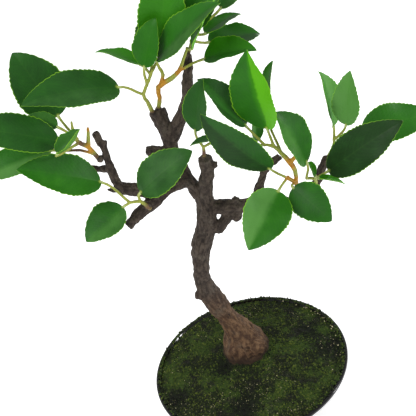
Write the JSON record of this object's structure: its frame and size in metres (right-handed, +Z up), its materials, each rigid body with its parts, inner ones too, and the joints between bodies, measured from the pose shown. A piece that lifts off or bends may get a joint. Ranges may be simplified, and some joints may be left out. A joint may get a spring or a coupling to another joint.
{
  "type": "bonsai tree in a pot",
  "caption": "Small bonsai tree with a crooked lopped trunk and broad leaves on plugged-in twigs, standing in moss in a shallow round glossy pot.",
  "frame": {"origin": "centre of the pot's foot, on the surface it stands on", "axes": "+Z up; the pictured front faces -Y, and +X is to the right seen from the front"},
  "size_m": [0.2888, 0.15, 0.3413],
  "materials": {
    "black_gloss": "high gloss black glaze",
    "filler": "matt, hidden below the moss",
    "moss": "matt dark green granules with small glints",
    "bark": "rough ridged grey-brown bark",
    "twig_green": "satin, yellow-green stalks turning orange and red at the twig's root",
    "leaf_green": "semi-gloss green with a paler midrib and a light toothed edge"
  },
  "bodies": {
    "root": {"pot": "black_gloss", "filler": "filler", "moss": "moss", "trunk": "bark", "twig_far_left": "twig_green", "twig_low_left": "twig_green", "twig_top_left": "twig_green", "twig_top_right": "twig_green", "twig_tip": "twig_green", "twig_middle": "twig_green", "twig_right": "twig_green", "twig_right_low": "twig_green", "twig_right_end": "twig_green", "leaf_01": "leaf_green", "leaf_02": "leaf_green", "leaf_03": "leaf_green", "leaf_04": "leaf_green", "leaf_05": "leaf_green", "leaf_06": "leaf_green", "leaf_07": "leaf_green", "leaf_08": "leaf_green", "leaf_09": "leaf_green", "leaf_10": "leaf_green", "leaf_11": "leaf_green", "leaf_12": "leaf_green", "leaf_13": "leaf_green", "leaf_14": "leaf_green", "leaf_15": "leaf_green", "leaf_16": "leaf_green", "leaf_17": "leaf_green", "leaf_18": "leaf_green", "leaf_19": "leaf_green", "leaf_20": "leaf_green", "leaf_21": "leaf_green", "leaf_22": "leaf_green", "leaf_23": "leaf_green", "leaf_24": "leaf_green", "leaf_25": "leaf_green", "leaf_26": "leaf_green", "leaf_27": "leaf_green", "leaf_28": "leaf_green", "leaf_29": "leaf_green", "leaf_30": "leaf_green", "leaf_31": "leaf_green", "leaf_32": "leaf_green", "leaf_33": "leaf_green", "leaf_34": "leaf_green", "leaf_35": "leaf_green", "leaf_36": "leaf_green", "leaf_37": "leaf_green", "leaf_38": "leaf_green", "leaf_39": "leaf_green"}
  },
  "joints": []
}
